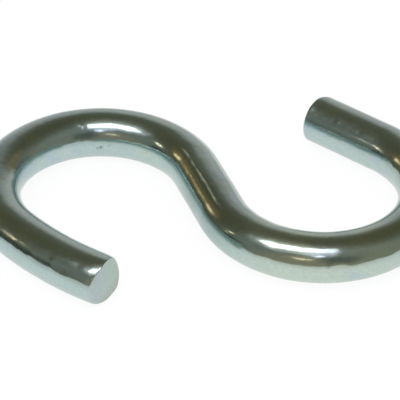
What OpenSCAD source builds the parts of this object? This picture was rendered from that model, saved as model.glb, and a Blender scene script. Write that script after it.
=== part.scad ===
// Open S hook, bent from one length of round wire and lying flat.
// X runs through the centres of the two eyes, Z is up, and the floor is z = 0.
// The origin is the middle of the outline, on the floor.

/* [Wire] */
// Diameter of the round wire
wire_d = 6; // [4:0.5:8]
// Bevel round the rim of both cut ends
rim_bevel = 0.25; // [0.1:0.05:0.6]

/* [Eyes and shank] */
// Clear diameter inside each eye
eye_d = 18.8; // [14:0.2:28]
// Straight length of the shank between the two bends
shank_len = 9; // [5:0.5:16]

/* [Short-tailed eye] */
// Angle that the wire turns through round this eye
short_bend = 211; // [190:1:220]
// Straight length from the end of the bend to the cut end
short_tail_len = 9.8; // [5:0.2:14]

/* [Long-tailed eye] */
// Angle that the wire turns through round this eye
long_bend = 200; // [185:1:210]
// Length from the end of the bend to the cut end, along the wire
long_tail_len = 14.5; // [8:0.5:18]
// Centreline radius of the slight bow in this tail
long_bow_r = 40; // [25:1:80]

/* [Crop mark] */
// How much the cutter flattened the underside of the long tail's end
crop_depth = 0.3; // [0.1:0.05:0.6]
// Length of the flattened stretch along the wire
crop_len = 1.8; // [1:0.2:4]

/* [Hidden] */
$fn = 96;

wire_r = wire_d / 2;
bend_r = (eye_d + wire_d) / 2;
bow_angle = long_tail_len / long_bow_r * 180 / PI;

// Each tail is this much thinner than its bend and starts this far inside it,
// so that the two always join into one solid
seam_step = 0.01;
seam_depth = 0.1;
tail_r = wire_r - seam_step;

// Room that a cutting shape needs to pass clear through the wire
over = 1;

// Direction from the middle of the shank to the centre of the short-tailed eye
eye_angle = atan2(bend_r, shank_len / 2);

// Heading of the wire at the end of each bend, and at the long tail's cut end
short_heading = short_bend - eye_angle;
long_heading = 180 + long_bend - eye_angle;
long_end_heading = long_heading + bow_angle;

// Centre of each cut end across the eyes, with the shank's middle at y = 0
short_end_y = short_tail_len * sin(short_heading) - bend_r * cos(short_heading);
long_end_y = (long_bow_r - bend_r) * cos(long_heading)
    - long_bow_r * cos(long_end_heading);

// Outline across the eyes: a cut end, or a bend where the tails are short
outline_top = max(bend_r + wire_r,
    short_end_y + (tail_r - rim_bevel) * abs(cos(short_heading)),
    short_end_y - rim_bevel * sin(short_heading) + tail_r * abs(cos(short_heading)));
outline_bottom = min(-bend_r - wire_r,
    long_end_y - (tail_r - rim_bevel) * abs(cos(long_end_heading)),
    long_end_y - rim_bevel * sin(long_end_heading) - tail_r * abs(cos(long_end_heading)));
outline_middle = (outline_top + outline_bottom) / 2;

// Wire of radius r that starts at the origin along +Y and bends to the left
module bent_wire(radius, angle, r) {
    translate([-radius, 0, 0])
        rotate_extrude(angle = angle)
            translate([radius, 0]) circle(r = r);
}

// Puts its children where such a bend ends, with +Y along the wire
module after_bend(radius, angle) {
    translate([-radius, 0, 0])
        rotate([0, 0, angle])
            translate([radius, 0, 0]) children();
}

// Straight tail along +Y with its rim bevelled
module straight_tail() {
    rotate([-90, 0, 0])
        rotate_extrude()
            polygon([
                [0, -seam_depth],
                [tail_r, -seam_depth],
                [tail_r, short_tail_len - rim_bevel],
                [tail_r - rim_bevel, short_tail_len],
                [0, short_tail_len]
            ]);
}

// Ring outside the bevelled rim of a cut end that faces +Y at the origin
module rim_cut() {
    rotate([-90, 0, 0])
        rotate_extrude()
            polygon([
                [tail_r + over, -rim_bevel - over],
                [tail_r + over, over],
                [tail_r - rim_bevel - over, over]
            ]);
}

// Space under a cut end at the origin, where the cutter pressed the wire flat
module crop_cut() {
    slope = atan2(crop_depth, crop_len);
    translate([0, 0, crop_depth - tail_r])
        rotate([slope, 0, 0])
            translate([-wire_r - over, -2 * crop_len, -wire_r])
                cube([wire_d + 2 * over, 2 * crop_len + over, wire_r]);
}

// Bowed tail that starts along +Y, with its rim bevelled and its crop mark
module bowed_tail() {
    seam_angle = seam_depth / long_bow_r * 180 / PI;
    difference() {
        after_bend(long_bow_r, -seam_angle)
            bent_wire(long_bow_r, bow_angle + seam_angle, tail_r);
        after_bend(long_bow_r, bow_angle) {
            rim_cut();
            crop_cut();
        }
    }
}

// From the end of the shank, round the eye and out along the straight tail
module short_side() {
    bent_wire(bend_r, short_bend, wire_r);
    after_bend(bend_r, short_bend) straight_tail();
}

// From the end of the shank, round the eye and out along the bowed tail
module long_side() {
    bent_wire(bend_r, long_bend, wire_r);
    after_bend(bend_r, long_bend) bowed_tail();
}

module s_hook() {
    color([0.66, 0.71, 0.69])
        translate([0, -outline_middle, wire_r])
            rotate([0, 0, -eye_angle - 90]) {
                translate([0, -shank_len / 2, 0])
                    rotate([-90, 0, 0]) cylinder(h = shank_len, r = wire_r);
                translate([0, shank_len / 2, 0]) short_side();
                rotate([0, 0, 180])
                    translate([0, shank_len / 2, 0]) long_side();
            }
}

s_hook();
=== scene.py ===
"""Open S hook of bright zinc plated wire, lying flat on a white studio floor."""

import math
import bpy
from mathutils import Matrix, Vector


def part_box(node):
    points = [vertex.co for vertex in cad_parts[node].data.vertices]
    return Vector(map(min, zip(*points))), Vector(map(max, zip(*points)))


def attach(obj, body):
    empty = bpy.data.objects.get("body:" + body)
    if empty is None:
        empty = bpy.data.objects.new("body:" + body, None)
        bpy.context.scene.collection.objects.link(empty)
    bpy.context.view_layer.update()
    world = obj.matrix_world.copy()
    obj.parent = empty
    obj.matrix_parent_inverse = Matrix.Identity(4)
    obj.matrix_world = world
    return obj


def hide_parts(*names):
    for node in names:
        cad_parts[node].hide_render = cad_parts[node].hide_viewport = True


bl_info = {
    "name": "Zinc Plated S Hook",
    "version": (1, 0, 0),
    "blender": (4, 5, 0),
    "location": "3D View > Sidebar > S Hook",
    "description": "Bends an open S hook from round wire, plates it with zinc and lights it",
    "category": "Add Mesh",
}

import bpy
import numpy as np
from bpy.props import (
    FloatProperty,
    FloatVectorProperty,
    IntProperty,
    PointerProperty,
)
from bpy.types import Operator, Panel, PropertyGroup
from mathutils import Matrix, Vector

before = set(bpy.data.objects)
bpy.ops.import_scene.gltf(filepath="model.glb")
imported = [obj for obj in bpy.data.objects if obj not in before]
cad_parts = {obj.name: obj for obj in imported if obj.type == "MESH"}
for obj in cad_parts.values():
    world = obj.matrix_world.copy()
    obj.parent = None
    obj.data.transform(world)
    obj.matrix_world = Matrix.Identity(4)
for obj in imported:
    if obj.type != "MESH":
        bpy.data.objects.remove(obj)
LOW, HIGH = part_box("s_hook")

MM = 0.001
UP = Vector((0, 0, 1))
# Rings of the mesh on each cut face, and on the rounded rim round it
FACE_RINGS, RIM_RINGS = 12, 6

# Attributes that the swept wire carries for its material
STRAIGHT = "straight_wire"  # each point's place if the wire were pulled straight
CUT = "cut_end"  # 1 on the two cut faces, 0 along the wire
STAIN = "stain"  # up to 1 in the few dark specks of the plating

# Rim of the long tail's cut face: angle round the wire in degrees, from the
# mouth up over the top, radius as a share of the wire's, and how far the two
# jaws of the cutter left the rim behind the ridge between them, in mm
LONG_RIM = (
    (-180, 0.97, 0.71), (-165, 0.97, 0.76), (-150, 0.97, 0.79), (-135, 0.98, 0.75),
    (-116, 1.00, 0.65), (-107, 1.00, 0.56), (-99, 1.00, 0.47), (-90, 1.00, 0.37),
    (-73, 1.00, 0.26), (-64, 1.00, 0.18), (-56, 1.00, 0.08), (-48, 1.00, 0.00),
    (-40, 1.00, 0.01), (-33, 1.00, 0.06), (-26, 1.00, 0.12), (-17, 1.00, 0.21),
    (-8, 1.00, 0.32), (2, 1.00, 0.45), (10, 1.00, 0.55), (18, 0.99, 0.61),
    (28, 0.97, 0.58), (38, 0.95, 0.46), (47, 0.94, 0.32), (56, 0.955, 0.22),
    (65, 0.98, 0.17), (75, 1.00, 0.15), (90, 1.00, 0.16), (98, 0.988, 0.19),
    (105, 0.967, 0.21), (112, 0.947, 0.20), (119, 0.939, 0.26), (126, 0.938, 0.41),
    (133, 0.939, 0.51), (140, 0.938, 0.60), (147, 0.938, 0.63), (154, 0.940, 0.64),
    (161, 0.952, 0.65), (170, 0.965, 0.69), (180, 0.97, 0.71),
)

# Roundness of each end's rim: angle round the wire, and radius in mm
LONG_EDGE = (
    (-180, 0.55), (-120, 0.40), (-60, 0.20), (0, 0.15), (60, 0.10), (145, 0.10), (165, 0.40),
    (180, 0.55),
)
SHORT_EDGE = (
    (-180, 0.32), (-90, 0.30), (0, 0.50), (35, 0.75), (60, 0.80), (78, 0.45), (95, 0.25),
    (130, 0.20), (180, 0.32),
)

# Small dents (below 0) and bumps in the surface: distance along the wire from
# the short tail's end, angle round it, size and height, in mm and degrees
MARKS = (
    (0.35, 124, 0.7, 0.030), (0.9, 108, 0.8, -0.016), (1.0, 138, 0.8, 0.016),
    (4.5, 131, 0.50, 0.014), (4.1, 129, 0.7, -0.008), (37.7, 8, 1.3, 0.030),
    (38.8, 8, 1.3, -0.040), (39.95, 19, 0.7, 0.026), (49.6, 42, 0.9, 0.016),
    (50.1, 56, 0.8, -0.014), (68.2, 48, 1.0, 0.014), (82.2, 50, 0.55, 0.018),
    (82.7, 56, 0.5, 0.016), (79.9, -3, 0.6, -0.020), (115.6, 133, 0.9, -0.022),
    (116.3, 141, 0.8, 0.018), (116.2, 153, 1.0, 0.020), (117.6, 151, 1.3, -0.020),
    (113.4, 150, 1.2, 0.014), (119.4, 128, 0.9, -0.014), (42.6, 21, 0.6, 0.010),
    (43.9, 23, 0.8, -0.014), (44.6, 31, 0.7, 0.012), (45.8, 24, 0.7, 0.014),
    (47.2, 30, 0.9, -0.014), (48.2, 23, 0.8, 0.012), (48.8, 36, 0.7, 0.014),
    (74.7, 30, 1.1, -0.018), (73.3, 35, 0.9, 0.014), (71.8, 41, 0.7, 0.012),
    (6.3, 112, 0.9, 0.012), (7.8, 130, 0.8, -0.012), (2.4, 118, 0.9, -0.012),
)

# Dark specks in the plating: distance along, angle, size in mm, and strength
SPECKS = (
    (79.8, -3, 0.42, 0.80), (80.35, -5, 0.34, 0.55), (78.4, 3, 0.40, 0.30),
    (39.9, 17, 0.40, 0.45), (4.15, 130, 0.30, 0.30), (116.0, 138, 0.45, 0.35),
)

# Where the zinc's colour drifts along the wire: place along and reach in mm, and colour. The darker
# patch at 56 mm is painted shade, where the shank's inner side mirrors the floor in the hook's
# shadow
TINT_AND_PAINTED_SHADE = (
    (41, 11, (0.510, 0.605, 0.535)),
    (56, 8, (0.373, 0.474, 0.454)),
    (91, 13, (0.430, 0.548, 0.570)),
)

# Soft patches of light and shade round the studio: compass direction and
# height in degrees, full and fading radius in degrees, and colour
SURROUNDINGS = (
    ("right_wall", 130, 3, 1, 74, (0.283, 0.275, 0.206)),
    ("left_wall", -158, 38, 1, 65, (0.191, 0.211, 0.190)),
    ("near_wall", -161, -6, 25, 52, (0.298, 0.268, 0.203)),
    ("ceiling_glow", -110, 80, 1, 26, (0.80, 0.70, 0.60)),
    ("far_wall", 10, 8, 29, 35, (0.586, 0.559, 0.538)),
    ("dark_ceiling", 46, 60, 1, 52, (0.118, 0.108, 0.061)),
    ("dark_left", -55, 40, 1, 53, (0.110, 0.100, 0.058)),
    ("dark_near", 162, 23, 1, 20, (0.129, 0.139, 0.118)),
    ("softbox_halo", -172, 58, 1, 21, (1.10, 1.05, 1.15)),
    ("softbox_spill", -132, 59, 1, 24, (0.80, 0.75, 0.75)),
    ("dark_low", -99, 2, 4, 16, (0.060, 0.065, 0.045)),
    ("warm_glow_left", -60, 24, 1, 16, (0.24, 0.165, 0.068)),
    ("warm_glow_near", -166, 24, 4, 17, (0.36, 0.30, 0.22)),
    ("warm_glow_far", 46, 28, 2, 17, (0.25, 0.19, 0.10)),
)

# Small lamps round the studio: compass direction and height, half width and
# half height and lean, in degrees, and colour
LAMPS = (
    ("small_window", -179.5, 41, 4.4, 4.2, 0, (2.60, 2.55, 3.00)),
    ("lamp_near", -164.5, 25.5, 9, 2.0, 0, (1.90, 1.60, 1.15)),
    ("lamp_left", -63.0, 21.0, 6.0, 5.0, 0, (1.55, 1.12, 0.66)),
    ("lamp_slit", -36, 39.3, 4.0, 1.6, 0, (0.85, 0.80, 0.62)),
)

# Lamps close by that only the metal mirrors: place, and where they point, in mm,
# length and width in mm, lean and half width of the beam in degrees, and colour
NEAR_LAMPS = (
    ("pin_long_tail", (-79.1, -11.9, 25.9), (-22.9, -10.4, 4.9),
     (12.0, 4.6), -17, 12, (1.80, 1.30, 0.83)),
    ("pin_short_tail", (-20.6, 1.9, 22.4), (20.4, 7.7, 4.8),
     (6.5, 5.5), -47, 7, (3.1, 2.30, 1.58)),
    ("pin_short_bend", (-1.5, 2.6, 16.3), (19.9, 8.3, 4.8),
     (2.2, 3.4), -47, 5, (2.1, 1.60, 1.10)),
    ("pin_right_loop", (-51.3, -13.2, 31.2), (2.5, -9.2, 4.9),
     (5.5, 3.4), -38, 10, (3.4, 2.8, 1.75)),
    ("pin_left_loop", (-59.6, 2.2, 31.4), (-6.3, 8.1, 4.9),
     (5.5, 4.5), -63, 10, (6.0, 4.9, 3.4)),
)


# ---------------------------------------------------------------- properties


class HookSizes(PropertyGroup):
    """Sizes of the bent wire."""

    wire_diameter: FloatProperty(
        name="Wire Diameter", description="Diameter of the round wire",
        default=HIGH.z - LOW.z, min=0.001, unit="LENGTH", precision=5,
    )
    rim_rounding: FloatProperty(
        name="Rim Rounding", description="Radius of the rim round each cut end",
        default=0.25 * MM, min=0, unit="LENGTH", precision=5,
    )
    eye_diameter: FloatProperty(
        name="Eye Diameter", description="Clear diameter inside each eye",
        default=18.8 * MM, min=0.001, unit="LENGTH", precision=5,
    )
    shank_length: FloatProperty(
        name="Shank Length", description="Straight length between the two bends",
        default=9 * MM, min=0, unit="LENGTH", precision=5,
    )
    short_bend: FloatProperty(
        name="Short Side Bend", description="Turn of the wire round the short-tailed eye",
        default=math.radians(211), subtype="ANGLE",
    )
    short_tail: FloatProperty(
        name="Short Tail", description="Straight length from this bend to the cut end",
        default=9.8 * MM, min=0, unit="LENGTH", precision=5,
    )
    long_bend: FloatProperty(
        name="Long Side Bend", description="Turn of the wire round the long-tailed eye",
        default=math.radians(200), subtype="ANGLE",
    )
    long_tail: FloatProperty(
        name="Long Tail", description="Length from this bend to the cut end",
        default=14.5 * MM, min=0, unit="LENGTH", precision=5,
    )
    long_bow_radius: FloatProperty(
        name="Long Tail Bow", description="Radius of the slight bow in the long tail",
        default=40 * MM, min=0.005, unit="LENGTH", precision=5,
    )
    crop_length: FloatProperty(
        name="Crop Length", description="Length of the long tail's end that the cutter pressed",
        default=1.8 * MM, min=0, unit="LENGTH", precision=5,
    )
    waviness: FloatProperty(
        name="Waviness", description="Height of the slow waves in the wire's surface",
        default=0.034 * MM, min=0, unit="LENGTH", precision=7,
    )
    dent_depth: FloatProperty(
        name="Dent Depth", description="Depth of the shallow dents in the surface",
        default=0.020 * MM, min=0, unit="LENGTH", precision=7,
    )
    ring_spacing: FloatProperty(
        name="Ring Spacing", description="Distance between the mesh's rings along the wire",
        default=0.2 * MM, min=0.00005, unit="LENGTH", precision=6,
    )
    sides: IntProperty(
        name="Sides", description="Number of mesh faces round the wire",
        default=128, min=16, max=256,
    )
    seed: IntProperty(
        name="Seed", description="Picks another pattern of waves", default=3, min=0,
    )


class ZincFinish(PropertyGroup):
    """Colours and gloss of the zinc plating."""

    zinc: FloatVectorProperty(
        name="Zinc", description="Main colour of the plating",
        subtype="COLOR", default=(0.447, 0.560, 0.540), min=0, max=1,
    )
    cool_film: FloatVectorProperty(
        name="Cool Film", description="Colour where the passivated film turns bluish",
        subtype="COLOR", default=(0.435, 0.537, 0.575), min=0, max=1,
    )
    warm_film: FloatVectorProperty(
        name="Warm Film", description="Colour where the passivated film turns yellowish",
        subtype="COLOR", default=(0.500, 0.590, 0.525), min=0, max=1,
    )
    # The sheared faces' near and far colours hold their own colour plus painted reflection: their
    # two facets mirror different tints
    cut_colour_and_near_reflection: FloatVectorProperty(
        name="Cut Face, Near Side", description="Colour of the sheared faces on their near side",
        subtype="COLOR", default=(0.440, 0.520, 0.525), min=0, max=1,
    )
    cut_colour_and_far_reflection: FloatVectorProperty(
        name="Cut Face, Far Side", description="Colour of the sheared faces on their far side",
        subtype="COLOR", default=(0.415, 0.535, 0.470), min=0, max=1,
    )
    cut_low: FloatVectorProperty(
        name="Cut Face, Underside", description="Colour of the sheared faces near their lower rim",
        subtype="COLOR", default=(0.410, 0.465, 0.415), min=0, max=1,
    )
    gloss_roughness: FloatProperty(
        name="Roughness", description="Roughness of the bright plating",
        subtype="FACTOR", default=0.135, min=0, max=1,
    )
    cut_roughness: FloatProperty(
        name="Cut Roughness", description="Roughness of the sheared faces",
        subtype="FACTOR", default=0.30, min=0, max=1,
    )


class StudioLook(PropertyGroup):
    """Floor, lamp and camera of the studio."""

    floor_size: FloatProperty(
        name="Floor Size", description="Width of the floor",
        default=6.0, min=0.5, unit="LENGTH",
    )
    bright_reach: FloatProperty(
        name="Bright Reach", description="How far away the metal still mirrors the floor's white",
        default=56 * MM, min=0.01, unit="LENGTH",
    )
    floor_glow: FloatProperty(
        name="Floor White", description="Share of the floor's white that no shadow reaches",
        subtype="FACTOR", default=0.82, min=0, max=1,
    )
    softbox_height: FloatProperty(
        name="Softbox Height", description="Height of the softbox above the floor",
        default=0.6, min=0.1, unit="LENGTH",
    )
    softbox_light: FloatProperty(
        name="Softbox Light", description="Brightness of the softbox's face, where 1 is white",
        default=2.2, min=0,
    )
    camera_distance: FloatProperty(
        name="Camera Distance", description="Distance from the lens to the wire",
        default=317.3 * MM, min=0.05, unit="LENGTH",
    )
    camera_height: FloatProperty(
        name="Camera Height", description="Angle of the camera above the horizon",
        default=0.6451, subtype="ANGLE",
    )
    camera_lens: FloatProperty(
        name="Lens", description="Focal length on a 36 mm sensor, in mm",
        default=239.2, min=10,
    )


# ------------------------------------------------------------- node helpers


def feed(tree, socket, value):
    """Links a socket, or sets a plain value, on a node's input."""
    if isinstance(value, bpy.types.NodeSocket):
        tree.links.new(value, socket)
    else:
        socket.default_value = value


def node(tree, kind, inputs=(), label="", **settings):
    """Adds a node, with its settings and with its inputs by name or number."""
    made = tree.nodes.new(kind)
    made.label = label
    for key, value in settings.items():
        setattr(made, key, value)
    for key, value in dict(inputs).items():
        feed(tree, made.inputs[key], value)
    return made


def maths(tree, operation, a, b=0.0, c=0.0):
    """Output of a Math node."""
    return node(tree, "ShaderNodeMath", {0: a, 1: b, 2: c}, operation=operation).outputs[0]


def vector(tree, operation, a, b=None, scale=None):
    """Output of a Vector Math node: a number for a dot product, otherwise a vector."""
    made = node(tree, "ShaderNodeVectorMath", {0: a}, operation=operation)
    if b is not None:
        feed(tree, made.inputs[1], b)
    if scale is not None:
        feed(tree, made.inputs["Scale"], scale)
    return made.outputs["Value" if operation == "DOT_PRODUCT" else "Vector"]


def ramp(tree, value, low, high, start=0.0, end=1.0, smooth=False):
    """Output of a clamped Map Range node."""
    return node(
        tree, "ShaderNodeMapRange",
        {"Value": value, "From Min": low, "From Max": high, "To Min": start, "To Max": end},
        interpolation_type="SMOOTHSTEP" if smooth else "LINEAR",
    ).outputs["Result"]


def blend(tree, factor, a, b, mode="MIX", label=""):
    """Output of a colour Mix node."""
    made = node(tree, "ShaderNodeMix", label=label, data_type="RGBA", blend_type=mode)
    for key, value in (("Factor_Float", factor), ("A_Color", a), ("B_Color", b)):
        socket = next(s for s in made.inputs if s.identifier == key)
        if key != "Factor_Float" and not isinstance(value, bpy.types.NodeSocket):
            value = (*value, 1.0)[:4]
        feed(tree, socket, value)
    return next(s for s in made.outputs if s.identifier == "Result_Color")


def noise(tree, vec, scale, detail, roughness, w=None):
    """Height of a noise pattern, about 0 to 1."""
    inputs = {"Vector": vec, "Scale": scale, "Detail": detail, "Roughness": roughness}
    if w is None:
        return node(tree, "ShaderNodeTexNoise", inputs).outputs[0]
    inputs["W"] = w
    return node(tree, "ShaderNodeTexNoise", inputs, noise_dimensions="4D").outputs[0]


# ---------------------------------------------------------------- the wire


def turned(offset, heading):
    """The offset turned in the floor's plane, so that its X lies along the heading."""
    c, s = math.cos(heading), math.sin(heading)
    return Vector((offset[0] * c - offset[1] * s, offset[0] * s + offset[1] * c, 0))


def walk(heading, stretches, step):
    """Points from the origin along stretches of wire, each a length and a turn."""
    points = [Vector((0, 0, 0))]
    for length, turn in stretches:
        start = points[-1]
        count = max(2, math.ceil(length / step))
        for i in range(1, count + 1):
            far, angle = length * i / count, turn * i / count
            if turn:
                radius = length / turn
                offset = (radius * math.sin(angle), radius * (1 - math.cos(angle)))
            else:
                offset = (far, 0)
            points.append(start + turned(offset, heading))
        heading += turn
    return points, heading


def centreline(sizes, step=0.1 * MM):
    """Points along the wire's middle, from the short tail's end to the long tail's,
    and the wire's heading at the long end."""
    wire = sizes.wire_diameter / 2
    bend = sizes.eye_diameter / 2 + wire
    eye_angle = math.atan2(bend, sizes.shank_length / 2)
    half = (sizes.shank_length / 2, 0)
    short_stretches = (half, (bend * sizes.short_bend, sizes.short_bend), (sizes.short_tail, 0))
    short, short_heading = walk(-eye_angle, short_stretches, step)
    bow = sizes.long_tail / sizes.long_bow_radius
    long_stretches = (half, (bend * sizes.long_bend, sizes.long_bend), (sizes.long_tail, bow))
    long, long_heading = walk(math.pi - eye_angle, long_stretches, step)
    # The outline across the eyes sits centred in the frame's box
    rim = sizes.rim_rounding
    top = max(
        bend + wire,
        short[-1].y + (wire - rim) * abs(math.cos(short_heading)),
        short[-1].y - rim * math.sin(short_heading) + wire * abs(math.cos(short_heading)),
    )
    bottom = min(
        -bend - wire,
        long[-1].y - (wire - rim) * abs(math.cos(long_heading)),
        long[-1].y - rim * math.sin(long_heading) - wire * abs(math.cos(long_heading)),
    )
    shift = Vector(((LOW.x + HIGH.x) / 2, (LOW.y + HIGH.y - top - bottom) / 2, LOW.z + wire))
    points = [p + shift for p in list(reversed(short)) + long[1:]]
    return points, long_heading


def sweep_tree():
    """Geometry Nodes that sweep round wire, with rounded cut ends, along a curve."""
    tree = bpy.data.node_groups.new("sweep_round_wire", "GeometryNodeTree")
    face = tree.interface
    face.new_socket("Geometry", in_out="INPUT", socket_type="NodeSocketGeometry")
    face.new_socket("Geometry", in_out="OUTPUT", socket_type="NodeSocketGeometry")
    for name, kind, value in (
        ("Wire Radius", "Float", 3 * MM),
        ("Rim Radius", "Float", 0.25 * MM),
        ("Rings", "Int", 640),
        ("Sides", "Int", 128),
        ("Face Rings", "Int", FACE_RINGS),
        ("Rim Rings", "Int", RIM_RINGS),
        ("Waviness", "Float", 0.02 * MM),
        ("Dents", "Float", 0.02 * MM),
        ("Seed", "Int", 0),
    ):
        face.new_socket(name, in_out="INPUT", socket_type="NodeSocket" + kind).default_value = value
    face.new_socket("Material", in_out="INPUT", socket_type="NodeSocketMaterial")
    ask = tree.nodes.new("NodeGroupInput").outputs
    radius, rim = ask["Wire Radius"], ask["Rim Radius"]

    # A grid of rings and sides, wrapped round the curve by the formulas below
    grid = node(tree, "GeometryNodeMeshGrid", {
        "Size X": 1.0, "Size Y": 1.0, "Vertices X": ask["Rings"],
        "Vertices Y": maths(tree, "ADD", ask["Sides"], 1.0),
    })
    spot = node(tree, "GeometryNodeInputPosition").outputs[0]
    spot = node(tree, "ShaderNodeSeparateXYZ", {0: spot}).outputs
    last = maths(tree, "SUBTRACT", ask["Rings"], 1.0)
    ring = maths(tree, "MULTIPLY", maths(tree, "ADD", spot["X"], 0.5), last)
    angle = maths(tree, "MULTIPLY", maths(tree, "ADD", spot["Y"], 0.5), -2 * math.pi)

    # Where each ring is: on a cut face, on its rounded rim, or along the wire
    edge1 = ask["Face Rings"]
    edge2 = maths(tree, "ADD", edge1, ask["Rim Rings"])
    edge3 = maths(tree, "SUBTRACT", last, edge2)
    edge4 = maths(tree, "SUBTRACT", last, edge1)
    quarter = math.pi / 2
    face_in = ramp(tree, ring, 0.0, edge1)
    rim_in = ramp(tree, ring, edge1, edge2, 0.0, quarter)
    body = ramp(tree, ring, edge2, edge3)
    rim_out = ramp(tree, ring, edge3, edge4, 0.0, quarter)
    face_out = ramp(tree, ring, edge4, last)
    length = node(tree, "GeometryNodeCurveLength", {0: ask["Geometry"]}).outputs[0]
    sunk = maths(tree, "SUBTRACT", 1.0, maths(tree, "COSINE", rim_in))
    along = maths(tree, "MULTIPLY", rim, sunk)
    straight = maths(tree, "MULTIPLY_ADD", rim, -2.0, length)
    along = maths(tree, "MULTIPLY_ADD", straight, body, along)
    along = maths(tree, "MULTIPLY_ADD", rim, maths(tree, "SINE", rim_out), along)
    flat = maths(tree, "SUBTRACT", radius, rim)
    out = maths(tree, "MULTIPLY", flat, maths(tree, "SUBTRACT", face_in, face_out))
    round_in = maths(tree, "SINE", rim_in)
    round_out = maths(tree, "SUBTRACT", 1.0, maths(tree, "COSINE", rim_out))
    out = maths(tree, "MULTIPLY_ADD", rim, maths(tree, "SUBTRACT", round_in, round_out), out)

    sample = node(tree, "GeometryNodeSampleCurve", {
        "Curves": ask["Geometry"], "Length": along,
    }, mode="LENGTH")
    side = vector(tree, "CROSS_PRODUCT", UP, sample.outputs["Tangent"])
    across = maths(tree, "MULTIPLY", out, maths(tree, "COSINE", angle))
    above = maths(tree, "MULTIPLY", out, maths(tree, "SINE", angle))
    sideways = vector(tree, "SCALE", side, scale=across)
    offset = vector(tree, "ADD", sideways, vector(tree, "SCALE", UP, scale=above))
    place = vector(tree, "ADD", sample.outputs["Position"], offset)

    # The straight place and the cut faces are kept for the material
    pulled = node(tree, "ShaderNodeCombineXYZ", {0: along, 1: across, 2: above}).outputs[0]
    kept = node(tree, "GeometryNodeStoreNamedAttribute", {
        "Geometry": grid.outputs["Mesh"], "Name": STRAIGHT, "Value": pulled,
    }, data_type="FLOAT_VECTOR", domain="POINT").outputs[0]
    cut = maths(tree, "ADD", 1.0, ramp(tree, rim_out, 0.0, quarter))
    cut = maths(tree, "SUBTRACT", cut, ramp(tree, rim_in, 0.0, quarter))
    kept = node(tree, "GeometryNodeStoreNamedAttribute", {
        "Geometry": kept, "Name": CUT, "Value": maths(tree, "MINIMUM", cut, 1.0),
    }, data_type="FLOAT", domain="POINT").outputs[0]
    kept = node(tree, "GeometryNodeStoreNamedAttribute", {
        "Geometry": kept, "Name": "UVMap", "Value": grid.outputs["UV Map"],
    }, data_type="FLOAT2", domain="CORNER").outputs[0]
    tube = node(tree, "GeometryNodeSetPosition", {"Geometry": kept, "Position": place}).outputs[0]
    tube = node(tree, "GeometryNodeMergeByDistance", {
        "Geometry": tube, "Distance": 0.001 * MM,
    }).outputs[0]

    # Slow waves that drawing and bending leave in the surface, shallow dents
    # about a millimetre across that are deeper in some places, and drawn streaks
    read = node(tree, "GeometryNodeInputNamedAttribute", {
        "Name": STRAIGHT,
    }, data_type="FLOAT_VECTOR").outputs[0]
    stretched = vector(tree, "MULTIPLY", read, (0.6, 1.0, 1.0))
    waves = noise(tree, stretched, 320.0, 2.0, 0.45, w=ask["Seed"])
    swing = maths(tree, "MULTIPLY", ask["Waviness"], 2.0)
    height = maths(tree, "MULTIPLY", maths(tree, "SUBTRACT", waves, 0.5), swing)
    dents = noise(tree, vector(tree, "MULTIPLY", read, (0.8, 1.0, 1.0)), 700.0, 1.0, 0.5,
                  w=maths(tree, "ADD", ask["Seed"], 5.3))
    deep = noise(tree, read, 120.0, 1.0, 0.5, w=maths(tree, "ADD", ask["Seed"], 9.7))
    deep = maths(tree, "MULTIPLY", ramp(tree, deep, 0.42, 0.62, 0.5, 3.0), ask["Dents"])
    height = maths(tree, "MULTIPLY_ADD", maths(tree, "SUBTRACT", dents, 0.5), deep, height)
    drawn = noise(tree, vector(tree, "MULTIPLY", read, (0.12, 1.0, 1.0)), 1000.0, 1.0, 0.5,
                  w=maths(tree, "ADD", ask["Seed"], 2.1))
    height = maths(tree, "MULTIPLY_ADD", maths(tree, "SUBTRACT", drawn, 0.5),
                   maths(tree, "MULTIPLY", ask["Dents"], 0.6), height)
    normal = node(tree, "GeometryNodeInputNormal").outputs[0]
    tube = node(tree, "GeometryNodeSetPosition", {
        "Geometry": tube, "Offset": vector(tree, "SCALE", normal, scale=height),
    }).outputs[0]
    tube = node(tree, "GeometryNodeSetShadeSmooth", {0: tube}).outputs[0]
    tube = node(tree, "GeometryNodeRealizeInstances", {0: tube}).outputs[0]
    tube = node(tree, "GeometryNodeSetMaterial", {
        "Geometry": tube, "Material": ask["Material"],
    }).outputs[0]
    node(tree, "NodeGroupOutput", {0: tube})
    return tree


def swept_wire(points, sizes, material):
    """Plain mesh object of the wire along the given points."""
    path = bpy.data.curves.new("wire_path", "CURVE")
    path.dimensions = "3D"
    line = path.splines.new("POLY")
    line.points.add(len(points) - 1)
    for point, place in zip(line.points, points):
        point.co = (*place, 1)
    source = bpy.data.objects.new("wire_path", path)
    bpy.context.collection.objects.link(source)
    tree = sweep_tree()
    sweep = source.modifiers.new("Sweep", "NODES")
    sweep.node_group = tree
    length = sum((b - a).length for a, b in zip(points, points[1:]))
    end_rings = 2 * (FACE_RINGS + RIM_RINGS)
    values = {
        "Wire Radius": sizes.wire_diameter / 2,
        "Rim Radius": sizes.rim_rounding,
        "Rings": end_rings + round(length / sizes.ring_spacing),
        "Sides": sizes.sides,
        "Waviness": sizes.waviness,
        "Dents": sizes.dent_depth,
        "Seed": sizes.seed,
        "Material": material,
    }
    for item in tree.interface.items_tree:
        if item.item_type == "SOCKET" and item.in_out == "INPUT" and item.name in values:
            sweep[item.identifier] = values[item.name]
    graph = bpy.context.evaluated_depsgraph_get()
    mesh = bpy.data.meshes.new_from_object(source.evaluated_get(graph), depsgraph=graph)
    bpy.data.objects.remove(source)
    bpy.data.curves.remove(path)
    if len(mesh.polygons) < end_rings * sizes.sides:
        raise RuntimeError("the wire could not be swept along its path")
    mesh.name = "s_hook_wire"
    hook = bpy.data.objects.new("s_hook_wire", mesh)
    bpy.context.collection.objects.link(hook)
    return hook, length


def vectors(data, name):
    """One vector of each item in a mesh's data, as an array."""
    found = np.empty(len(data) * 3, np.float32)
    data.foreach_get(name, found)
    return found.reshape(-1, 3).astype(float)


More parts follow.
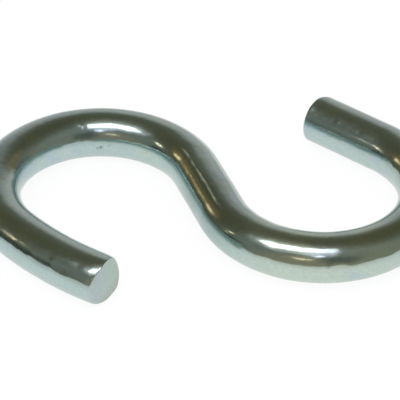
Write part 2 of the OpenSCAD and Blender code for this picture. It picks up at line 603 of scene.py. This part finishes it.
def points_of(mesh):
    """Where each of a mesh's points is, and where it would be on the straight wire."""
    return vectors(mesh.vertices, "co"), vectors(mesh.attributes[STRAIGHT].data, "vector")


def move_points(mesh, places):
    """Moves each of a mesh's points to its new place."""
    mesh.vertices.foreach_set("co", places.astype(np.float32).ravel())
    mesh.update()


def round_rims(hook, sizes, points, length):
    """Draws the rims of both ends in or out to their own roundness."""
    co, straight = points_of(hook.data)
    radius, rim = sizes.wire_diameter / 2, sizes.rim_rounding
    out = np.hypot(straight[:, 1], straight[:, 2])
    angle = np.degrees(np.arctan2(straight[:, 2], straight[:, 1]))
    # How far in from the rim the points move along with it
    reach = 0.8 * radius
    short_end, long_end = (SHORT_EDGE, points[0], points[1]), (LONG_EDGE, points[-1], points[-2])
    for table, end, inner in (short_end, long_end):
        ahead = np.array((end - inner).normalized())
        behind = straight[:, 0] if table is SHORT_EDGE else length - straight[:, 0]
        behind = np.maximum(behind, 0)
        near = behind < radius
        wanted = np.interp(angle[near], *np.array(table).T) * MM
        for depth, way in ((behind[near], -ahead), (radius - out[near], None)):
            past_rim = wanted + (depth - rim) / (reach - rim) * (reach - wanted)
            drawn = np.where(depth < rim, depth / rim * wanted, past_rim)
            change = np.where(depth < reach, drawn - depth, 0)
            if way is None:
                middle = np.array(end) - np.outer(behind[near], ahead)
                away = co[near] - middle
                away -= np.outer(away @ ahead, ahead)
                way = -away / np.maximum(np.linalg.norm(away, axis=1), 1e-9)[:, None]
                step = way * change[:, None]
            else:
                step = np.outer(change, way)
            co[near] += step
    move_points(hook.data, co)


def curved(x, y):
    """Terms of a face that is curved a little both ways."""
    return np.stack([np.ones_like(x), x, y, x * x, x * y, y * y], axis=-1)


def press_long_end(hook, sizes, end, heading, length):
    """Gives the long tail's end the blunt wedge and the drawn rim of a cutter."""
    co, straight = points_of(hook.data)
    inward = np.clip((length - straight[:, 0]) / sizes.crop_length, 0, 1)
    near = inward < 1
    fade = 1 - inward[near]
    side = np.array((-math.sin(heading), math.cos(heading), 0.0))
    ahead = np.array((math.cos(heading), math.sin(heading), 0.0))
    away = co[near] - np.array(end)
    across, above, beyond = away @ side, away[:, 2], away @ ahead
    angle = np.degrees(np.arctan2(above, across))
    rim = np.array(LONG_RIM)
    # The jaw's flat starts at a soft crease
    slope, soft = 1.72, 0.3
    jaw = 1 - slope * (1 - fade)
    jaw = (jaw + np.hypot(jaw, soft)) / (1 + math.hypot(1, soft))
    grow = 1 + (np.interp(angle, rim[:, 0], rim[:, 1]) - 1) * jaw
    # The face is smooth in the middle and follows the rim's own line at the edge
    turn = np.radians(rim[:-1, 0])
    fit = np.linalg.lstsq(curved(np.cos(turn), np.sin(turn)), rim[:-1, 2], rcond=None)[0]
    x, y = straight[near, 1:].T / (sizes.wire_diameter / 2)
    share = np.minimum(np.hypot(x, y), 1)
    turn = np.radians(angle)
    back = np.interp(angle, rim[:, 0], rim[:, 2]) - curved(np.cos(turn), np.sin(turn)) @ fit
    beyond -= (curved(x, y) @ fit + back * share**4) * MM * fade
    co[near] = (
        np.array(end) + np.outer(beyond, ahead) + np.outer(across * grow, side)
        + np.outer(above * grow, (0, 0, 1))
    )
    co[:, 2] = np.maximum(co[:, 2], LOW.z)
    move_points(hook.data, co)


def spots(straight, wire_radius, table):
    """Sum of soft round spots: place along, angle, size in mm, and amount."""
    total = np.zeros(len(straight))
    for along, turn, size, amount in table:
        turn = math.radians(turn)
        middle = (along * MM, wire_radius * math.cos(turn), wire_radius * math.sin(turn))
        far = np.linalg.norm(straight - middle, axis=1) / (size * MM)
        total += amount * np.exp(-((2 * far) ** 2))
    return total


def mark_surface(hook, wire_radius):
    """Presses the small dents, raises the small bumps and stains the specks."""
    co, straight = points_of(hook.data)
    normals = vectors(hook.data.vertices, "normal")
    co += normals * spots(straight, wire_radius, MARKS)[:, None] * MM
    stain = hook.data.attributes.new(STAIN, "FLOAT", "POINT")
    dark = np.clip(spots(straight, wire_radius, SPECKS), 0, 1)
    stain.data.foreach_set("value", dark.astype(np.float32))
    move_points(hook.data, co)


# ------------------------------------------------------------- the materials


def new_material(name):
    """An empty node material and its tree."""
    material = bpy.data.materials.new(name)
    material.use_nodes = True
    material.node_tree.nodes.clear()
    return material, material.node_tree


def zinc_plate(finish):
    """Bright zinc over drawn steel wire, with a faint bluish and yellowish film, and painted shade
    and painted reflection in parts of its colour.
    """
    material, tree = new_material("zinc_plate")
    wire = node(tree, "ShaderNodeAttribute", attribute_name=STRAIGHT, label="Straight Wire")
    cut = node(tree, "ShaderNodeAttribute", attribute_name=CUT, label="Cut Ends").outputs["Fac"]
    mm = vector(tree, "SCALE", wire.outputs["Vector"], scale=1000.0)

    # Colour: drifts in tint along the wire, with painted shade on the shank's inner side, patches
    # of film a few millimetres across, and paler sheared ends
    place = node(tree, "ShaderNodeSeparateXYZ", {0: mm}).outputs
    colour = finish.zinc
    # The table's darker patch is painted shade for the floor's shadow that the shank mirrors
    for middle, reach, film in TINT_AND_PAINTED_SHADE:
        away = maths(tree, "ABSOLUTE", maths(tree, "SUBTRACT", place["X"], middle))
        colour = blend(tree, ramp(tree, away, reach, 0.25 * reach, smooth=True), colour, film)
    cool = ramp(tree, noise(tree, mm, 0.22, 2.0, 0.5), 0.50, 0.66, 0.0, 0.65, smooth=True)
    colour = blend(tree, cool, colour, finish.cool_film)
    elsewhere = vector(tree, "ADD", mm, (37.0, 11.0, 5.0))
    warm = ramp(tree, noise(tree, elsewhere, 0.3, 1.0, 0.5), 0.52, 0.70, 0.0, 0.5, smooth=True)
    colour = blend(tree, warm, colour, finish.warm_film)
    # The sheared faces are duller and greyish below; their bluish near side and greenish far side
    # are painted reflection, the wedge's two facets mirroring different surroundings
    face = blend(tree, ramp(tree, place["Y"], -0.9, 0.9), finish.cut_colour_and_near_reflection, finish.cut_colour_and_far_reflection)
    low = maths(tree, "MULTIPLY_ADD", place["Y"], 0.55, maths(tree, "MULTIPLY", place["Z"], -1.0))
    face = blend(tree, ramp(tree, low, 0.9, 2.9, smooth=True), face, finish.cut_low)
    colour = blend(tree, cut, colour, face)
    grain = noise(tree, mm, 2.6, 3.0, 0.6)
    shade = ramp(tree, grain, 0.25, 0.75, 0.93, 1.06)
    tone = node(tree, "ShaderNodeCombineColor", {0: shade, 1: shade, 2: shade}).outputs[0]
    colour = blend(tree, 1.0, colour, tone, "MULTIPLY")
    stain = node(tree, "ShaderNodeAttribute", attribute_name=STAIN, label="Stain").outputs["Fac"]
    speck = (0.06, 0.06, 0.045)
    colour = blend(tree, stain, colour, speck)

    # Gloss: bright along the wire, duller where it was sheared and close to the
    # short tail's end
    fine = noise(tree, vector(tree, "MULTIPLY", mm, (0.25, 1.0, 1.0)), 1.6, 3.0, 0.6)
    bright = finish.gloss_roughness
    gloss = ramp(tree, fine, 0.3, 0.75, bright - 0.025, bright + 0.05)
    gloss = maths(tree, "MULTIPLY_ADD", cut, finish.cut_roughness - bright, gloss)
    worn = ramp(tree, place["X"], 0.3, 1.8, 0.10, 0.0, smooth=True)
    gloss = maths(tree, "ADD", gloss, worn)

    # Relief: drawing lines along the wire, soft plating grain, rough sheared faces
    lines = noise(tree, vector(tree, "MULTIPLY", mm, (0.10, 5.0, 5.0)), 1.0, 3.0, 0.6)
    peel = noise(tree, mm, 1.5, 3.0, 0.55)
    rough = noise(tree, mm, 2.2, 4.0, 0.6)
    height = maths(tree, "MULTIPLY_ADD", peel, 2.0, maths(tree, "MULTIPLY", lines, 0.6))
    height = maths(tree, "MULTIPLY_ADD", maths(tree, "MULTIPLY", rough, cut), 4.0, height)
    bump = node(tree, "ShaderNodeBump", {
        "Height": height, "Strength": 1.0, "Distance": 0.004 * MM,
    }).outputs[0]

    shader = node(tree, "ShaderNodeBsdfPrincipled", {
        "Base Color": colour, "Metallic": 1.0, "Roughness": gloss, "Normal": bump,
        "Specular Tint": (0.93, 0.92, 0.90, 1.0),
    })
    node(tree, "ShaderNodeOutputMaterial", {"Surface": shader.outputs[0]})
    return material


def seen_ray(tree):
    """1 for rays that see the floor's white as it is: camera, glossy and transmission."""
    path = node(tree, "ShaderNodeLightPath").outputs
    seen = maths(tree, "MAXIMUM", path["Is Camera Ray"], path["Is Glossy Ray"])
    return maths(tree, "MAXIMUM", seen, path["Is Transmission Ray"])


def white_floor(look):
    """White floor: most of its white is seen as it is, and the rest takes the shadow.
    The metal mirrors it white close by, dimmer farther off, and past that the workshop."""
    material, tree = new_material("white_floor")
    place = node(tree, "ShaderNodeTexCoord").outputs["Object"]
    paper = noise(tree, place, 6.0, 2.0, 0.5)
    white = ramp(tree, paper, 0.0, 1.0, 0.80, 0.84)
    tone = node(tree, "ShaderNodeCombineColor", {0: white, 1: white, 2: white}).outputs[0]
    glow = node(tree, "ShaderNodeEmission", {"Color": (1, 1, 1, 1), "Strength": 1.10})
    matt = node(tree, "ShaderNodeBsdfDiffuse", {"Color": tone})
    share = maths(tree, "MULTIPLY", seen_ray(tree), look.floor_glow)
    both = node(tree, "ShaderNodeMixShader", {0: share, 1: matt.outputs[0], 2: glow.outputs[0]})
    # A mirrored ray loses a share of the white close by, and the rest farther off
    path = node(tree, "ShaderNodeLightPath").outputs
    reach, lost = look.bright_reach, 0.28
    near = ramp(tree, path["Ray Length"], 4 * MM, 20 * MM, 0.0, lost)
    far = ramp(tree, path["Ray Length"], 0.7 * reach, 2.3 * reach, 0.0, 1 - lost, smooth=True)
    past = maths(tree, "MULTIPLY", maths(tree, "ADD", near, far), path["Is Glossy Ray"])
    clear = node(tree, "ShaderNodeBsdfTransparent")
    floor = node(tree, "ShaderNodeMixShader", {0: past, 1: both.outputs[0], 2: clear.outputs[0]})
    node(tree, "ShaderNodeOutputMaterial", {"Surface": floor.outputs[0]})
    return material


def compass(azimuth, height):
    """Direction from compass degrees, 0 away along +Y and 90 to +X, and degrees up."""
    a, h = math.radians(azimuth), math.radians(height)
    return Vector((math.sin(a) * math.cos(h), math.cos(a) * math.cos(h), math.sin(h)))


def lamp_share(tree, toward, azimuth, height, wide, tall, lean):
    """How far a direction lies in a small oval lamp: 1 in its middle and 0 past its edge."""
    middle = compass(azimuth, height)
    turn = Matrix.Rotation(math.radians(lean), 3, middle)
    across = turn @ compass(azimuth + 90, 0) / math.sin(math.radians(wide))
    upward = turn @ compass(azimuth, height + 90) / math.sin(math.radians(tall))
    x, y = vector(tree, "DOT_PRODUCT", toward, across), vector(tree, "DOT_PRODUCT", toward, upward)
    spread = maths(tree, "MULTIPLY_ADD", x, x, maths(tree, "MULTIPLY", y, y))
    ahead = maths(tree, "GREATER_THAN", vector(tree, "DOT_PRODUCT", toward, middle), 0.0)
    return maths(tree, "MULTIPLY", ramp(tree, spread, 1.3, 0.25, smooth=True), ahead)


def studio_world():
    """White behind the object, and a dim workshop for what the metal mirrors."""
    world = bpy.data.worlds.new("studio_surroundings")
    world.use_nodes = True
    tree = world.node_tree
    tree.nodes.clear()
    toward = vector(tree, "NORMALIZE", node(tree, "ShaderNodeTexCoord").outputs["Generated"])
    up = node(tree, "ShaderNodeSeparateXYZ", {0: toward}).outputs["Z"]
    level, overhead = (0.146, 0.149, 0.116), (0.412, 0.408, 0.361)
    room = blend(tree, ramp(tree, up, 0.0, 0.9, smooth=True), level, overhead)
    for name, azimuth, height, full, fading, colour in SURROUNDINGS:
        near = vector(tree, "DOT_PRODUCT", toward, compass(azimuth, height))
        edge, core = math.cos(math.radians(fading)), math.cos(math.radians(full))
        share = ramp(tree, near, edge, core, smooth=True)
        room = blend(tree, share, room, colour, label=name)
    for name, azimuth, height, wide, tall, lean, colour in LAMPS:
        share = lamp_share(tree, toward, azimuth, height, wide, tall, lean)
        room = blend(tree, share, room, colour, label=name)
    path = node(tree, "ShaderNodeLightPath").outputs
    # A ray mirrored twice sees one pale tone, and light on matt surfaces is plain grey
    pale, grey, white = (0.55, 0.56, 0.54), (0.55, 0.55, 0.55), (1.0, 1.0, 1.0)
    twice = maths(tree, "GREATER_THAN", path["Ray Depth"], 2.5)
    room = blend(tree, twice, room, pale)
    shown = blend(tree, path["Is Glossy Ray"], grey, room)
    clear = maths(tree, "MAXIMUM", path["Is Camera Ray"], path["Is Transmission Ray"])
    shown = blend(tree, clear, shown, white)
    sky = node(tree, "ShaderNodeBackground", {"Color": shown, "Strength": 1.0})
    node(tree, "ShaderNodeOutputWorld", {"Surface": sky.outputs[0]})
    return world


# ---------------------------------------------------------------- operators


class SHOOK_OT_wire(Operator):
    """Sweep the zinc plated wire of the S hook, with its two cut ends"""

    bl_idname = "s_hook.wire"
    bl_label = "S Hook Wire"
    bl_options = {"REGISTER", "UNDO"}

    def execute(self, context):
        sizes = context.scene.s_hook_sizes
        points, heading = centreline(sizes)
        material = zinc_plate(context.scene.s_hook_finish)
        hook, length = swept_wire(points, sizes, material)
        round_rims(hook, sizes, points, length)
        press_long_end(hook, sizes, points[-1], heading, length)
        mark_surface(hook, sizes.wire_diameter / 2)
        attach(hook, "root")
        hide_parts("s_hook")
        return {"FINISHED"}


class SHOOK_OT_studio(Operator):
    """Lay the white floor, and set the softbox, the surroundings and the camera"""

    bl_idname = "s_hook.studio"
    bl_label = "Studio"
    bl_options = {"REGISTER", "UNDO"}

    def execute(self, context):
        look = context.scene.s_hook_studio
        half = look.floor_size / 2
        mesh = bpy.data.meshes.new("studio_floor")
        corners = ((-half, -half), (half, -half), (half, half), (-half, half))
        mesh.from_pydata([(x, y, LOW.z) for x, y in corners], [], [(0, 1, 2, 3)])
        mesh.materials.append(white_floor(look))
        floor = bpy.data.objects.new("studio_floor", mesh)
        context.collection.objects.link(floor)
        context.scene.world = studio_world()
        self.softbox(context, look)
        self.pin_lamps(context)
        self.camera(context, look)
        return {"FINISHED"}

    def softbox(self, context, look):
        """Wide soft light above, a little to the camera's side and the left."""
        height = look.softbox_height
        # Place and size of each light, as shares of the height
        for name, shape, place, size in (
            ("softbox", "ELLIPSE", (-0.33, -0.40), (0.92, 0.42)),
            ("softbox_end", "RECTANGLE", (0.01, -0.42), (0.29, 0.36)),
        ):
            lamp = bpy.data.lights.new(name, "AREA")
            lamp.shape = shape
            lamp.size, lamp.size_y = size[0] * height, size[1] * height
            area = lamp.size * lamp.size_y * (math.pi / 4 if shape == "ELLIPSE" else 1)
            lamp.energy = look.softbox_light * math.pi * area
            box = bpy.data.objects.new(name, lamp)
            box.location = (place[0] * height, place[1] * height, height)
            context.collection.objects.link(box)

    def pin_lamps(self, context):
        """Small warm lamps close by, with narrow beams, there only for the metal to mirror."""
        for name, place, toward, size, lean, half, colour in NEAR_LAMPS:
            lamp = bpy.data.lights.new(name, "AREA")
            lamp.shape, lamp.size, lamp.size_y = "ELLIPSE", size[1] * MM, size[0] * MM
            half = math.radians(half)
            lamp.spread = 2 * half
            area = lamp.size * lamp.size_y * math.pi / 4
            lamp.energy = max(colour) * math.pi * area * (1 - half / math.tan(half))
            lamp.color = [c / max(colour) for c in colour]
            pin = bpy.data.objects.new(name, lamp)
            place, toward = Vector(place) * MM, Vector(toward) * MM
            turn = (place - toward).to_track_quat("Z", "Y").to_matrix()
            turn = turn @ Matrix.Rotation(math.radians(lean), 3, "Z")
            pin.matrix_world = Matrix.Translation(place) @ turn.to_4x4()
            pin.visible_camera = pin.visible_diffuse = False
            context.collection.objects.link(pin)

    def camera(self, context, look):
        """Looks down at the hook from the front, with a long lens."""
        data = bpy.data.cameras.new("camera")
        data.lens, data.sensor_width = look.camera_lens, 36
        data.clip_start, data.clip_end = 0.01, 20
        camera = bpy.data.objects.new("camera", data)
        # The point it looks at, the compass direction it looks from, and its slight roll
        target = Vector((-1.120 * MM, -0.565 * MM, (HIGH.z - LOW.z) / 2))
        azimuth, roll = 180.053, 0.0059
        back = compass(azimuth, math.degrees(look.camera_height))
        turn = back.to_track_quat("Z", "Y").to_matrix() @ Matrix.Rotation(roll, 3, "Z")
        place = target + back * look.camera_distance
        camera.matrix_world = Matrix.Translation(place) @ turn.to_4x4()
        context.collection.objects.link(camera)
        context.scene.camera = camera
        context.scene.view_settings.view_transform = "Standard"


class SHOOK_PT_panel(Panel):
    """Sizes, finish and studio of the S hook"""

    bl_label = "S Hook"
    bl_idname = "SHOOK_PT_panel"
    bl_space_type = "VIEW_3D"
    bl_region_type = "UI"
    bl_category = "S Hook"

    def draw(self, context):
        for group, operator in (
            (context.scene.s_hook_sizes, SHOOK_OT_wire.bl_idname),
            (context.scene.s_hook_finish, None),
            (context.scene.s_hook_studio, SHOOK_OT_studio.bl_idname),
        ):
            column = self.layout.column(align=True)
            for name in group.__annotations__:
                column.prop(group, name)
            if operator:
                self.layout.operator(operator)


CLASSES = (HookSizes, ZincFinish, StudioLook, SHOOK_OT_wire, SHOOK_OT_studio, SHOOK_PT_panel)


def register():
    for cls in CLASSES:
        bpy.utils.register_class(cls)
    bpy.types.Scene.s_hook_sizes = PointerProperty(type=HookSizes)
    bpy.types.Scene.s_hook_finish = PointerProperty(type=ZincFinish)
    bpy.types.Scene.s_hook_studio = PointerProperty(type=StudioLook)


def unregister():
    del bpy.types.Scene.s_hook_studio
    del bpy.types.Scene.s_hook_finish
    del bpy.types.Scene.s_hook_sizes
    for cls in reversed(CLASSES):
        bpy.utils.unregister_class(cls)


def main():
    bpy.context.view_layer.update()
    register()
    bpy.ops.s_hook.wire()
    bpy.ops.s_hook.studio()
    bpy.context.view_layer.update()


if __name__ == "__main__":
    main()
